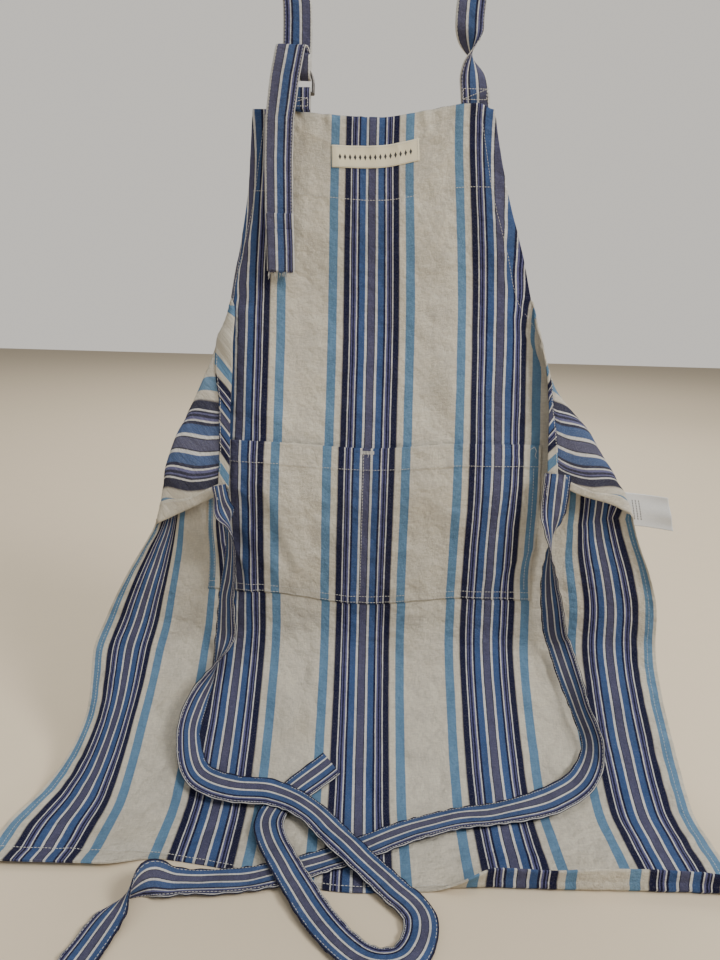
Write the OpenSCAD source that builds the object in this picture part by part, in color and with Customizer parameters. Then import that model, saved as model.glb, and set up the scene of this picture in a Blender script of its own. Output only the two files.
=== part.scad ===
// Butcher apron, hung by its neck loop with the skirt resting on a table.
// Frame: origin at the centre of the neck-loop arch, +X right, -Y front, +Z up. Millimetres.
// Places on the flat cloth are [across, down]: from the middle line and from the bib's top edge.

/* [Cloth] */
// Thickness of one layer of cloth
cloth_t = 0.8; // [0.6:0.1:1.2]
// Thickness where a hem doubles the cloth
hem_t = 1.5; // [1.2:0.1:2]
// Half width of the apron below the armholes
half_w = 300; // [280:5:330]
// Length of the body from the bib's top edge to the hem
body_len = 762; // [730:2:768]
// Depth of the facing behind the bib's top edge
facing_d = 78; // [60:2:90]
// Width of the side hems
side_hem = 18; // [12:1:22]
// Width of the bottom hem
bottom_hem = 20; // [14:1:26]
// Width of the armhole hems
arm_hem = 13; // [10:1:16]

/* [Pocket] */
// Distance from the bib's top edge to the pocket's mouth
pocket_v0 = 310; // [300:2:320]
// Height of the pocket
pocket_h = 152; // [140:2:156]
// Half width of the pocket
pocket_hw = 172; // [160:2:174]

/* [Neck strap and ties] */
// Width of the neck strap
strap_w = 28; // [26:0.5:28.5]
// Thickness of the folded strap and ties
strap_t = 1.4; // [1:0.1:1.6]
// Radius of the neck loop's arch at the strap's middle
loop_r = 89; // [86:1:92]
// Width of the waist ties
tie_w = 26; // [22:1:28]
// Length of the strap's loose tail
tail_len = 192; // [150:2:200]

/* [Buckle rings] */
// Diameter of the ring wire
wire_d = 2.6; // [2:0.1:2.8]
// Inside width of a ring
ring_in = 29; // [29:0.5:31]

/* [Labels] */
// Width of the woven label
label_w = 90; // [60:1:100]
// Height of the woven label
label_h = 20; // [14:1:26]

/* [Hidden] */
$fn = 48;
table_z = -785;        // the table under the skirt
hem_top = body_len - bottom_hem;
hem_step = 0.6;        // gap between grid lines where a hem's thickness starts
pocket_end = pocket_v0 + pocket_h;
arm_end = 285;         // where the armhole meets the side edge
arm_end_w = 300;       // half width there in the armhole table
// Each wing is the corner between armhole and side edge, turned over to the front.
fold_top = 172;        // where its fold leaves the armhole
fold_top_w = 155;      // half width there
fold_end = 390;        // where its fold meets the side edge
roll = 9;              // radius of the soft fold
roll_w = 25;           // cloth taken up by that fold
fold_angle = atan((half_w - fold_top_w) / (fold_end - fold_top));
fold_len = norm([half_w - fold_top_w, fold_end - fold_top]);
strap_color = [0.30, 0.36, 0.55];
tie_color = [0.28, 0.33, 0.52];
thread_color = [0.90, 0.89, 0.86];

// ---- curves ----
function mix(from, to, part) = from + (to - from) * part;
function clamp(x, top = 1) = max(0, min(top, x));
// Eased step from 0 to 1.
function ease(x) = let (part = clamp(x)) part * part * (3 - 2 * part);
// 0 up to start, 1 from rise to fall, 0 again from end.
function bump(x, start, rise, fall, end) =
  ease((x - start) / (rise - start)) * (1 - ease((x - fall) / (end - fall)));
// A smooth curve through a table's rows, read by their first column; straight beyond the ends.
function span(table, x, i = 0) =
  i >= len(table) - 2 || x < table[i + 1][0] ? i : span(table, x, i + 1);
function slope(table, i) =
  let (step = table[min(len(table) - 1, i + 1)] - table[max(0, i - 1)]) step / step[0];
function hermite(table, x, i) =
  let (width = table[i + 1][0] - table[i][0], part = (x - table[i][0]) / width)
  (2 * part^3 - 3 * part^2 + 1) * table[i]
    + (part^3 - 2 * part^2 + part) * width * slope(table, i)
    + (3 * part^2 - 2 * part^3) * table[i + 1]
    + (part^3 - part^2) * width * slope(table, i + 1);
function row_at(table, x) =
  let (last = len(table) - 1, end = x <= table[0][0] ? 0 : x >= table[last][0] ? last : -1)
  end < 0 ? hermite(table, x, span(table, x))
  : table[end] + (x - table[end][0]) * slope(table, end);
function curve(table, x) = row_at(table, x)[1];
// Value at x on the straight line through points a and b.
function between(a, b, x) = mix(a[1], b[1], (x - a[0]) / (b[0] - a[0]));

// ---- tables of the cloth's shape ----
// Side view: [length from the top edge, y, height over the table].
side_view = [[0, 0, 608], [80, 0.5, 528], [160, 0, 448], [250, -22, 360], [337, -42, 276],
  [400, -43, 213], [463, -43, 150], [507, -46, 107], [568, -85, 61], [661, -160, 6.5],
  [700, -199, 1.6], [760, -259, 1.2], [860, -359, 1.2]];
// Flat pattern along the armhole: [down, half width].
armhole = [[0, 122], [45, 129], [75, 132.5], [105, 139], [140, 148], [fold_top, fold_top_w],
  [186, 170], [206, 194], [235, 232], [260, 266], [arm_end, arm_end_w]];
// Hanging half width on either side: [down, distance from the middle].
hang_left = [[0, 112.5], [66, 117.5], [115, 126], [150, 135], [172, 139], [198, 145], [266, 171],
  [325, 194], [392, 209], [426, 228], [453, 243], [505, 267], [527, 272], [585, 266], [645, 276],
  [705, 298], [760, 300]];
hang_right = [[0, 113], [45, 121], [75, 128], [105, 137], [140, 150], [172, 158], [200, 163],
  [240, 174], [266, 187], [301, 218], [366, 252], [405, 268], [440, 287], [468, 297], [510, 300],
  [760, 300]];
// Hanging distance of the cloth lying mid_across from the middle, on the left: [down, distance].
mid_across = 222;
mid_left = [[300, 172.5], [340, 182], [392, 189], [430, 194], [487, 204], [530, 212], [760, 222]];
// How far the cloth is drawn up at the left, the middle and the right: [down, rise].
rise_left = [[0, 10], [78, 12], [310, 8], [462, 6], [600, 3], [760, 3]];
rise_middle = [[0, 5], [78, 6], [310, 4], [462, -4], [600, -2], [760, -3]];
rise_right = [[0, 20], [78, 21], [200, 15], [310, 11], [462, 4], [600, 0], [760, 3]];

// ---- hanging cloth ----
function flat_half(down) =
  down >= arm_end ? half_w : min(half_w, curve(armhole, down) * half_w / arm_end_w);
function fold_across(down) = down <= fold_top ? flat_half(down)
  : down >= fold_end ? half_w
  : fold_top_w + (down - fold_top) * tan(fold_angle);
// Waves of the cloth to the back: bent sides, then ripples over the skirt and over the bib.
function wave(x, down) =
  (x < 0 ? 0.0046 : 0.0032) * max(0, min(abs(x), 150) - (x < 0 ? 98 : 108))^2
    * bump(down, 40, 150, 400, 500)
  - 3.5 * sin(x * 1.15 + 25) * bump(down, 455, 530, 590, 690)
  - 2 * sin(x * 2.1 - 40) * bump(down, 90, 170, 250, 300);
// Rise of the cloth, less at the bib's right corner and more at the right side's middle.
function rise(x, down) =
  mix(mix(curve(rise_left, down), curve(rise_middle, down), ease((x + 110) / 110)),
    curve(rise_right, down), ease(x / 100))
  - 5 * ease((x - 95) / 18) * (1 - ease(down / 70))
  + 13 * ease((x - 190) / 60) * bump(down, 300, 375, 400, 490);
function hang_point(x, down) = let (view = row_at(side_view, down - rise(x, down)))
  [x - 4 * (1 - ease(down / 220)), view[1] + wave(x, down), view[2] + table_z];
// Unit normal of the side view, to the front.
function drape_normal(down) =
  let (step = row_at(side_view, down + 0.5) - row_at(side_view, down - 0.5))
  [0, step[2], -step[1]] / norm([step[1], step[2]]);
function lifted(x, down, lift) = hang_point(x, down) + drape_normal(down) * lift;
// The hem lies further out on the right than on the left.
function skew(x, down) = mix(-15, 11, ease((x + 190) / 190)) * ease((down - 560) / 190);
// Hanging distance from the middle; the cloth is gathered evenly as far as the inner point.
function hang_x(across, down, side) =
  let (gather = mix(0.905, 1, ease(down / 190)),
    edge = [fold_across(down), curve(side < 0 ? hang_left : hang_right, down)],
    even = min(0.92 * edge[0], mix(side < 0 ? 141 : 180, 112, ease((down - 392) / 70)),
      edge[1] - 3),
    inner = [even, even * gather],
    mid = [mid_across, curve(mid_left, down)])
  across <= even ? across * gather
  : side > 0 || down <= 300 ? between(inner, edge, across)
  : across <= mid_across ? between(inner, mid, across)
  : between(mid, edge, across);
// Strength of the fold.
function fade(down) =
  down > fold_end ? ease(1 - (down - fold_end) / 120) : ease((down - 150) / 70);

// The part of the cloth that isn't turned over.
function lying(across, down, side) =
  let (fold = fold_across(down),
    strength = fade(down),
    angle = 90 * (1 - clamp((fold - across) / roll_w)),
    plain_x = hang_x(across, down, side),
    roll_x = mix(hang_x(fold - roll_w, down, side), hang_x(fold, down, side), sin(angle)),
    x = side * (angle <= 0 ? plain_x : mix(plain_x, roll_x, strength)))
  hang_point(x, down + skew(x, down)) + drape_normal(down) * roll * (1 - cos(angle)) * strength;

// A flat place as [distance along the fold, distance beyond it].
function fold_place(across, down) = let (x = across - fold_top_w, y = down - fold_top)
  [x * sin(fold_angle) + y * cos(fold_angle), x * cos(fold_angle) - y * sin(fold_angle)];
corner = fold_place(half_w, arm_end);
// Where the wing's outer edge comes to lie, as [x, down].
function wing_edge(along, side) =
  let (tip = side < 0 ? [-134, 357] : [174, 338], part = along / corner[0])
  along <= corner[0]
  ? [mix(side < 0 ? -134 : 160, tip[0], ease(1.8 * part)), mix(fold_top, tip[1], part)]
  : mix(tip, side < 0 ? [-208, 394] : [261, 384],
    (along - corner[0]) / (fold_len - corner[0]));
function wing(across, down, side) =
  let (place = fold_place(across, down),
    beyond = place[1],
    along = clamp(place[0], fold_len),
    width = max(0.5, corner[1] * (place[0] < corner[0] ? (along / corner[0])^1.15
      : (fold_len - along) / (fold_len - corner[0]))),
    out = beyond / width,
    turn_w = min(22, width),
    angle = 90 + 90 * min(1, beyond / turn_w),
    part = beyond < turn_w ? out * mix(1 - sin(angle), 1, beyond / turn_w) : min(out, 1.04),
    fold_down = fold_top + along * cos(fold_angle),
    fold_x = side * hang_x(fold_top_w + along * sin(fold_angle), fold_down, side),
    spot = mix([fold_x, fold_down], wing_edge(along, side), part + 0.35 * part * (1 - part)))
  lifted(spot[0], spot[1],
    roll * (1 - cos(angle)) * mix(1, 0.82, min(1, out)) * fade(fold_down));

// The hanging place of a flat [across, down] place.
function cloth(place) =
  let (side = place[0] < 0 ? -1 : 1, across = abs(place[0]), down = place[1])
  down > fold_top && down < fold_end && across > fold_across(down)
  ? wing(across, down, side) : lying(across, down, side);
// Unit normal, to the front when the steps run right and down.
function unit_normal(step_right, step_down) =
  let (normal = cross(step_right, step_down)) -normal / max(1e-6, norm(normal));
function face_normal(place) = unit_normal(cloth(place + [0.8, 0]) - cloth(place - [0.8, 0]),
  cloth(place + [0, 0.8]) - cloth(place - [0, 0.8]));
// A point off the cloth's front (+) or back (-) face.
function raised(place, lift) = cloth(place) + face_normal(place) * lift;

// ---- sheets, seams and ribbons ----
function grid_normal(grid, i, j) = let (last_i = len(grid) - 1, last_j = len(grid[0]) - 1)
  unit_normal(grid[i][min(last_j, j + 1)] - grid[i][max(0, j - 1)],
    grid[min(last_i, i + 1)][j] - grid[max(0, i - 1)][j]);
// A thin solid about a grid of points; thickness is a number or a grid of numbers.
module sheet(grid, thickness) {
  rows = len(grid);
  cols = len(grid[0]);
  count = rows * cols;
  points = [for (half = [0.5, -0.5]) for (i = [0:rows - 1]) for (j = [0:cols - 1])
    grid[i][j] + grid_normal(grid, i, j)
      * (is_num(thickness) ? thickness : thickness[i][j]) * half];
  rim = concat([for (j = [0:cols - 1]) j],
    [for (i = [1:rows - 1]) i * cols + cols - 1],
    [for (j = [cols - 2:-1:0]) (rows - 1) * cols + j],
    [for (i = [rows - 2:-1:1]) i * cols]);
  cells = [for (i = [0:rows - 2]) for (j = [0:cols - 2]) i * cols + j];
  polyhedron(points = points, convexity = 10, faces = concat(
    [for (a = cells) each [[a, a + 1, a + cols + 1], [a, a + cols + 1, a + cols]]],
    [for (cell = cells) let (a = count + cell)
      each [[a, a + cols + 1, a + 1], [a, a + cols, a + cols + 1]]],
    [for (k = [0:len(rim) - 1]) let (a = rim[k], b = rim[(k + 1) % len(rim)])
      each [[a, a + count, b + count], [a, b + count, b]]]));
}
function line(from, to, steps) = [for (i = [0:steps]) mix(from, to, i / steps)];
function path_side(path, i) =
  let (step = path[min(len(path) - 1, i + 1)] - path[max(0, i - 1)])
  [step[1], -step[0]] / norm(step);
// A line of stitching along flat places, lifted off the cloth or off the pocket.
module seam(path, lift, width = 0.9, thickness = 0.4, on_pocket = false)
  sheet([for (i = [0:len(path) - 1])
    let (offset = path_side(path, i) * width,
      height = lift + (on_pocket ? pocket_lift(path[i]) : 0),
      rise = face_normal(path[i]) * height)
    [for (k = [0.5, -0.5]) cloth(path[i] + offset * k) + rise]], thickness);
module pocket_seam(path, lift = 1.05) seam(path, lift, on_pocket = true);

// A ribbon along rows of [x, down, lift, turn]; turn is how far it stands on edge.
function ribbon_point(numbered, t) =
  let (row = row_at(numbered, t)) lifted(row[1], row[2], row[3]);
function ribbon(rows, steps, width) =
  let (last = len(rows) - 1, numbered = [for (i = [0:last]) concat([i], rows[i])])
  [for (i = [0:steps])
    let (t = last * i / steps,
      row = row_at(numbered, t),
      centre = ribbon_point(numbered, t),
      run = ribbon_point(numbered, t + 0.02) - ribbon_point(numbered, t - 0.02),
      sideways = cross(run, drape_normal(row[2])),
      flat = sideways / norm(sideways),
      upright = cross(flat, run) / norm(run),
      half = (flat * cos(row[4]) + upright * sin(row[4])) * width / 2)
    [centre + half, centre - half]];

// ---- body ----
// Grid places across one half of the body, from the middle to the edge.
function row_across(down) =
  let (edge = flat_half(down),
    hem = edge - (down >= arm_end ? side_hem : arm_hem),
    fold = min(fold_across(down), hem - 14))
  concat([for (i = [0:11]) (fold - roll_w) * i / 12],
    [for (i = [0:5]) fold - roll_w * cos(i * 18)],
    [for (i = [1:4]) mix(fold, hem, i / 4)],
    [hem + hem_step, edge]);
body_rows = concat([0, facing_d / 3, 2 * facing_d / 3], [for (down = [facing_d:15.5:660]) down],
  line(672, hem_top - hem_step, 3), [hem_top, body_len]);
module body_panel() color([0.80, 0.78, 0.72]) {
  grid = [for (down = body_rows) let (half = row_across(down), last = len(half) - 1)
    [for (j = [-last:last]) cloth([sign(j) * half[abs(j)], down])]];
  thickness = [for (down = body_rows) let (last = len(row_across(down)) - 1)
    [for (j = [-last:last]) abs(j) >= last - 1 || down >= hem_top ? hem_t : cloth_t]];
  sheet(grid, thickness);
}
module bib_facing() color([0.76, 0.74, 0.68])
  sheet([for (down = line(5, facing_d, 6)) let (half = flat_half(down) - arm_hem - 4)
    [for (across = line(-half, half, 20)) raised([across, down], -(cloth_t + 0.35))]],
    cloth_t * 0.8);

// ---- pocket ----
mouth_hem = 21;
pocket_turn = 7.4;     // doubled cloth along the pocket's bottom edge
// Lift of the pocket: slack at the mouth on both sides of the middle, and one small bulge.
function pocket_lift(place) = let (across = place[0], down = place[1])
  1.9 + 2.6 * bump(down - pocket_v0, -60, 4, 20, 110) * (1 - exp(-abs(across) / 30))
    * (1 - ease((abs(across) - 150) / 22))
  + 1.5 * exp(-((across + 70)^2 + (down - 390)^2) / 900);
module pocket_panel() color([0.82, 0.80, 0.74]) {
  cols = 32;
  thin_top = pocket_v0 + mouth_hem + 1;
  thin_end = pocket_end - pocket_turn - hem_step;
  downs = concat([pocket_v0, pocket_v0 + mouth_hem], line(thin_top, thin_end, 8),
    [pocket_end - pocket_turn, pocket_end]);
  sheet([for (down = downs) [for (across = line(-pocket_hw, pocket_hw, cols))
      raised([across, down], pocket_lift([across, down]))]],
    [for (down = downs) [for (j = [0:cols])
      down <= pocket_v0 + mouth_hem || down >= pocket_end - pocket_turn || j == 0 || j == cols
      ? hem_t : cloth_t]]);
}

// ---- labels ----
label_middle = [3, 35];
label_tilt = 2.5;
// Flat place of a point x right of and z above the woven label's middle.
function label_place(x, z) = label_middle
  + [x * cos(label_tilt) - z * sin(label_tilt), -(x * sin(label_tilt) + z * cos(label_tilt))];
module woven_label() color([0.83, 0.79, 0.68])
  sheet([for (z = line(label_h / 2, -label_h / 2, 3))
    [for (x = line(-label_w / 2, label_w / 2, 8))
      raised(label_place(x, z), cloth_t / 2 + 0.45)]], 0.5);
care_corner = [252.6, -43.2, -514];
// A point of the care label's grid, or that far behind it.
function care_point(i, j, behind = 0) = care_corner
  + [j * 7.3 + i * 2.2, 3 * sin(j * 26 + i * 8) + behind, -i * 8.4 - j * 0.8];
module care_label() color([0.86, 0.86, 0.84])
  sheet([for (i = [0:4]) [for (j = [0:6]) care_point(i, j)]], 0.4);

// ---- neck strap ----
buckle_x = -76;        // the middle of the ring tab on the bib
buckle_z = -52;        // heights at the buckle are measured from here
bar_z = -101;          // the rings' straight bars
tab_r = 4.6;           // radius of the ring tab round the bars
loop_y = 9;            // half depth of the strap's turn through the rings
// Strap legs below the arch: [distance down, x].
leg_left = [[0, -89], [30, -88.3], [56, -85.5], [66, -78.5], [78, -76], [130, -76]];
leg_right = [[0, 89], [12, 89.3], [28, 88.4], [50, 84.4], [90, 81.5], [125, 86], [156, 90.5]];
// A strip at the buckle along rows of [y, z] or [y, z, shift in x].
module strip(rows, width, thickness = strap_t)
  sheet([for (row = rows) [for (k = [0.5, -0.5])
    [buckle_x + k * width + (len(row) > 2 ? row[2] : 0), row[0], row[1] + buckle_z]]],
    thickness);
// A leg turns flat on its way down, moves back, and may twist further.
module leg(path, end, steps, back = 0, twist = 0)
  sheet([for (z = line(-0.9, end, steps))
    let (drop = max(0, z),
      angle = 90 - 90 * min(1, drop / 58)^4 - twist * ease((drop - 84) / 62),
      half = [cos(angle), sin(angle), 0] * (strap_w / 2 - 0.3),
      centre = [curve(path, drop), back * ease(z / 90), -z])
    [centre + half, centre - half]], strap_t - 0.15);
module neck_strap() color(strap_color) {
  rotate([90, 0, 0]) rotate([0, 0, -0.2]) rotate_extrude(angle = 180.4)
    translate([loop_r - strap_t / 2, -strap_w / 2]) square([strap_t, strap_w]);
  // Left leg: runs down behind the rings, through them and up in front.
  leg(leg_left, end = 110, steps = 36, back = loop_y);
  strip(concat([[loop_y, -55], [loop_y, -80]],
    [for (a = [20:20:160]) [loop_y * cos(a), -81 - 8.5 * sin(a)]],
    [[-loop_y, -80], [-loop_y, -71]]), strap_w - 1.8);
  // Right leg: half a turn more on the way down to the bib.
  leg(leg_right, end = 156, steps = 60, twist = 180);
}
module strap_tail() color([0.33, 0.38, 0.56])
  strip(concat([[-9, -69.6], [-9.4, -67, -0.5]],
    [for (a = [30:30:150]) [-11.4 + 2.2 * cos(a), -66.4 + 2.2 * sin(a), -1 - a / 50]],
    [[-13.8, -70, -5], [-13.6, -90, -9], [-11.5, -125, -14], [-10.5, -160, -15],
      [-10, -205, -14.5], [-10.5, -240, -13], [-11, -69 - tail_len, -12.5]]),
    strap_w - 1, strap_t * 1.2);
module ring_tab() color(strap_color)
  strip(concat([[-tab_r, -115.2]],
    [for (a = [0:30:180]) [-tab_r * cos(a), bar_z + tab_r * sin(a)]],
    [[tab_r, -115.2]]), strap_w - 1);

// A D-shaped wire ring: straight bar below, short sides, round top.
module d_ring(y) color([0.45, 0.44, 0.43]) translate([buckle_x, y, buckle_z + bar_z]) {
  ring_r = ring_in / 2 + wire_d / 2;
  side_h = 8;
  rotate([0, 90, 0]) cylinder(d = wire_d, h = 2 * ring_r, center = true, $fn = 24);
  for (s = [-1, 1]) translate([s * ring_r, 0, 0]) {
    cylinder(d = wire_d, h = side_h, $fn = 24);
    sphere(d = wire_d, $fn = 24);
  }
  translate([0, 0, side_h]) rotate([90, 0, 0]) rotate_extrude(angle = 180)
    translate([ring_r, 0]) circle(d = wire_d, $fn = 24);
}
module d_ring_front() d_ring(-1.9);
module d_ring_rear() d_ring(1.9);

// ---- waist ties ----
// Rows of [x, down, lift off the cloth, turn].
tie_left = [[-143, 352, 21.3, 0], [-139, 369, 21, 0], [-134, 390, 19.8, 100],
  [-132, 420, 18.2, 122], [-136, 463, 18, 136], [-138, 515, 18, 150], [-147, 552, 17.5, 92],
  [-158, 585, 16, 50], [-161, 615, 12, 38], [-147, 648, 8.5, 8], [-112, 662, 9, 0],
  [-78, 664, 9, 0], [-46, 680, 9, 0], [-12, 718, 9, 0], [25, 758, 4, 0], [46, 788, 3, 0],
  [36, 820, 3, 0], [8, 822, 3, 0], [-22, 796, 3, 0], [-50, 756, 6, 0], [-72, 716, 7, 0],
  [-76, 690, 5.6, 0], [-64, 664, 4.2, 0], [-26, 628, 3.7, 0]];
tie_right = [[183, 336, 18.5, 0], [181, 364, 18.8, 0], [180, 392, 19, 62], [181, 414, 19, 92],
  [184, 442, 18.5, 122], [191, 480, 18, 141], [203, 530, 17, 141], [212, 575, 17, 118],
  [218, 612, 16, 128], [204, 642, 10, 172], [170, 662, 7, 180], [128, 676, 5.5, 180],
  [80, 686, 5, 180], [34, 702, 4.4, 180], [-8, 722, 3, 180], [-62, 749, 2.6, 180],
  [-100, 760, 2.6, 180], [-138, 764, 4, 184], [-160, 772, 12, 250], [-177, 796, 4.5, 345],
  [-186, 824, 2.4, 360], [-192, 846, 2.2, 360]];
left_steps = 120;
right_steps = 110;
module waist_tie_left() color(tie_color) sheet(ribbon(tie_left, left_steps, tie_w), strap_t);
module waist_tie_right() color(tie_color) sheet(ribbon(tie_right, right_steps, tie_w), strap_t);

// ---- stitching ----
thread_lift = cloth_t / 2 + 0.4;
module thread_facing() color(thread_color)
  seam(line([-105, facing_d - 4], [105, facing_d - 4], 40), thread_lift);
module armhole_seam(side) color(thread_color)
  seam([for (down = [4:8:276]) [side * (flat_half(down) - arm_hem - 1.5), down]],
    -thread_lift - 0.4);
module thread_armhole_left() armhole_seam(-1);
module thread_armhole_right() armhole_seam(1);
module side_seam(side) color(thread_color) {
  across = side * (half_w - side_hem - 2);
  seam(line([across, 312], [across, hem_top - 4], 72), -thread_lift - 0.35);
}
module thread_side_left() side_seam(-1);
module thread_side_right() side_seam(1);
module thread_bottom_hem() color(thread_color) {
  half = half_w - side_hem - 6;
  seam(line([-half, hem_top - 2.5], [half, hem_top - 2.5], 70), thread_lift);
}

// A line of stitching straight across the pocket.
module pocket_row(left, right, down, steps, lift)
  pocket_seam(line([left, down], [right, down], steps), lift);
module thread_pocket_edge() color(thread_color) {
  for (across = [3 - pocket_hw, pocket_hw - 3])
    pocket_seam(line([across, pocket_v0 + 24], [across, pocket_end - 12], 10), lift = 1.35);
  // Two rows along the bottom: [distance from the edge, lift].
  for (row = [[3, 1.4], [9.5, 1.2]])
    pocket_row(5 - pocket_hw, pocket_hw - 5, pocket_end - row[0], 48, lift = row[1]);
}
module thread_pocket_mouth() color(thread_color)
  pocket_row(6 - pocket_hw, pocket_hw - 6, pocket_v0 + mouth_hem - 2, 48, lift = 1.25);
module thread_pocket_divider() color(thread_color)
  for (across = [-4, 4])
    pocket_seam(line([across, pocket_v0 + 23], [across, pocket_end - 12], 12));
module bartack_divider() color(thread_color) pocket_row(-6, 7, pocket_v0 + 5, 6, lift = 1.3);

module label_seam(from, to, steps)
  seam([for (spot = line(from, to, steps)) label_place(spot[0], spot[1])],
    cloth_t / 2 + 1.0, width = 0.7, thickness = 0.35);
module thread_woven_label() color(thread_color) {
  x = label_w / 2 - 1.6;
  z = label_h / 2 - 1.6;
  for (s = [-1, 1]) {
    label_seam([1 - x, s * z], [x - 1, s * z], 8);
    label_seam([s * x, 1 - z], [s * x, z - 1], 3);
  }
}

// Four lines of thread in a rectangle facing the front.
module stitched_box(centre, width, height) {
  thread_w = 0.7;
  thread_t = 0.4;
  translate(centre) for (s = [-1, 1]) {
    translate([-width / 2, -thread_t / 2, s * height / 2 - thread_w / 2])
      cube([width, thread_t, thread_w]);
    translate([s * width / 2 - thread_w / 2, -thread_t / 2, thread_w - height / 2])
      cube([thread_w, thread_t, height - 2 * thread_w]);
  }
}
module thread_ring_tab() color(thread_color)
  stitched_box([buckle_x, -5.7, buckle_z - 109.6], 22, 7);
module thread_strap_base() color(thread_color) stitched_box([89.5, -1.15, -149.8], 22, 9);

// Two lines of thread along a tie's edges near its upper end.
module tie_stitches(rows, steps, last) {
  grid = ribbon(rows, steps, tie_w - 4);
  for (e = [0, 1]) sheet([for (i = [1:last])
    let (edge = grid[i][e],
      normal = cross(grid[i][0] - grid[i][1], grid[i + 1][0] - grid[i][0]),
      start = edge + normal / norm(normal) * (strap_t / 2 + 0.4))
    [start, start + (grid[i][1 - e] - edge) * 0.05]], 0.4);
}
module thread_tie_left() color(thread_color) tie_stitches(tie_left, left_steps, last = 5);
module thread_tie_right() color(thread_color) tie_stitches(tie_right, right_steps, last = 4);
module thread_care_label() color(thread_color)
  sheet([for (i = [0.3:0.4:3.7]) [for (j = [0.45, 0.55]) care_point(i, j, 0.6)]], 0.3);

body_panel();
bib_facing();
pocket_panel();
woven_label();
care_label();
neck_strap();
strap_tail();
ring_tab();
d_ring_front();
d_ring_rear();
waist_tie_left();
waist_tie_right();
thread_facing();
thread_armhole_left();
thread_armhole_right();
thread_side_left();
thread_side_right();
thread_bottom_hem();
thread_pocket_edge();
thread_pocket_mouth();
thread_pocket_divider();
thread_woven_label();
thread_ring_tab();
thread_strap_base();
thread_tie_left();
thread_tie_right();
thread_care_label();
bartack_divider();
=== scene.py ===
import math

import bpy
import numpy as np
from mathutils import Matrix


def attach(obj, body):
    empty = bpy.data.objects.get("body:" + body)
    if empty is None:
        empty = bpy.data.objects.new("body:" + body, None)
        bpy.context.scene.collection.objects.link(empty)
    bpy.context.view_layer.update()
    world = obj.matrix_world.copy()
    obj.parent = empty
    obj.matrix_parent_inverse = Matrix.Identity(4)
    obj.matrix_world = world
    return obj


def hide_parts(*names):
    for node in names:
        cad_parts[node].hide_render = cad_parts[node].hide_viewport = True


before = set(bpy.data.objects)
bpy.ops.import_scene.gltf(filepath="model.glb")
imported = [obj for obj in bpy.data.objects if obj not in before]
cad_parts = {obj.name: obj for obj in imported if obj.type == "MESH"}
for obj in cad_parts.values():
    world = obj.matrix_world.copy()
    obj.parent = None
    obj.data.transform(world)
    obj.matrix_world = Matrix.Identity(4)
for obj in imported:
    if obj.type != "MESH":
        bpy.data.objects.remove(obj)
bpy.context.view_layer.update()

# ---------------------------------------------------------------- the cloth's shape
TABLE_Z, LOW = -785.0, -52.0
HALF_W, BODY_LEN, FACING, SIDE_HEM, BOTTOM_HEM, ARM_HEM = 300.0, 762.0, 78.0, 10.0, 20.0, 13.0
P_V0, P_H, P_HW = 310.0, 152.0, 172.0
STRAP_W, STRAP_T, LOOP_R, TIE_W, TAIL = 28.0, 1.4, 89.0, 26.0, 192.0
ROLL, ROLL_W, VS, AS, VE = 9.0, 25.0, 172.0, 155.0, 390.0
FA = math.atan((HALF_W - AS) / (VE - VS))
FL = math.hypot(HALF_W - AS, VE - VS)
LC = (HALF_W - AS) * math.sin(FA) + (285 - VS) * math.cos(FA)
TC = (HALF_W - AS) * math.cos(FA) - (285 - VS) * math.sin(FA)
A = np.array
SIDE_Y = A([[0, 0], [80, 0.5], [160, 0], [250, -22], [337, -42], [400, -43], [463, -43], [507, -46], [568, -85], [661, -160], [700, -199], [760, -259], [860, -359]], float)
SIDE_Z = A([[0, 608], [80, 528], [160, 448], [250, 360], [337, 276], [400, 213], [463, 150], [507, 107], [568, 61], [661, 6.5], [700, 1.6], [760, 1.2], [860, 1.2]], float)
ARM = A([[0, 122], [45, 129], [75, 132.5], [105, 139], [140, 148], [172, 155], [186, 170], [206, 194], [235, 232], [260, 266], [285, 300]], float)
HANG_L = A([[0, 112.5], [66, 117.5], [115, 126], [150, 135], [172, 139], [198, 145], [266, 171], [325, 194], [392, 209], [426, 228], [453, 243], [505, 267], [527, 272], [585, 266], [645, 276], [705, 298], [760, 300]], float)
HANG_R = A([[0, 113], [45, 121], [75, 128], [105, 137], [140, 150], [172, 158], [200, 163], [240, 174], [266, 187], [301, 218], [366, 252], [405, 268], [440, 287], [468, 297], [510, 300], [760, 300]], float)
MID_L = A([[300, 172.5], [340, 182], [392, 189], [430, 194], [487, 204], [530, 212], [760, 222]], float)
UP_L = A([[0, 10], [78, 12], [310, 8], [462, 6], [600, 3], [760, 3]], float)
UP_M = A([[0, 5], [78, 6], [310, 4], [462, -4], [600, -2], [760, -3]], float)
UP_R = A([[0, 20], [78, 21], [200, 15], [310, 11], [462, 4], [600, 0], [760, 3]], float)


def crv(T, x):
    x = np.asarray(x, float)
    X, Y = T[:, 0], T[:, 1]
    n = len(X)
    m = np.empty(n)
    m[0] = (Y[1] - Y[0]) / (X[1] - X[0])
    m[-1] = (Y[-1] - Y[-2]) / (X[-1] - X[-2])
    m[1:-1] = (Y[2:] - Y[:-2]) / (X[2:] - X[:-2])
    i = np.clip(np.searchsorted(X, x, side="right") - 1, 0, n - 2)
    h = X[i + 1] - X[i]
    s = np.clip((x - X[i]) / h, 0, 1)
    r = (2 * s**3 - 3 * s**2 + 1) * Y[i] + (s**3 - 2 * s**2 + s) * m[i] * h + (3 * s**2 - 2 * s**3) * Y[i + 1] + (s**3 - s**2) * m[i + 1] * h
    r = np.where(x < X[0], Y[0] + (x - X[0]) * m[0], r)
    return np.where(x > X[-1], Y[-1] + (x - X[-1]) * m[-1], r)


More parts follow.
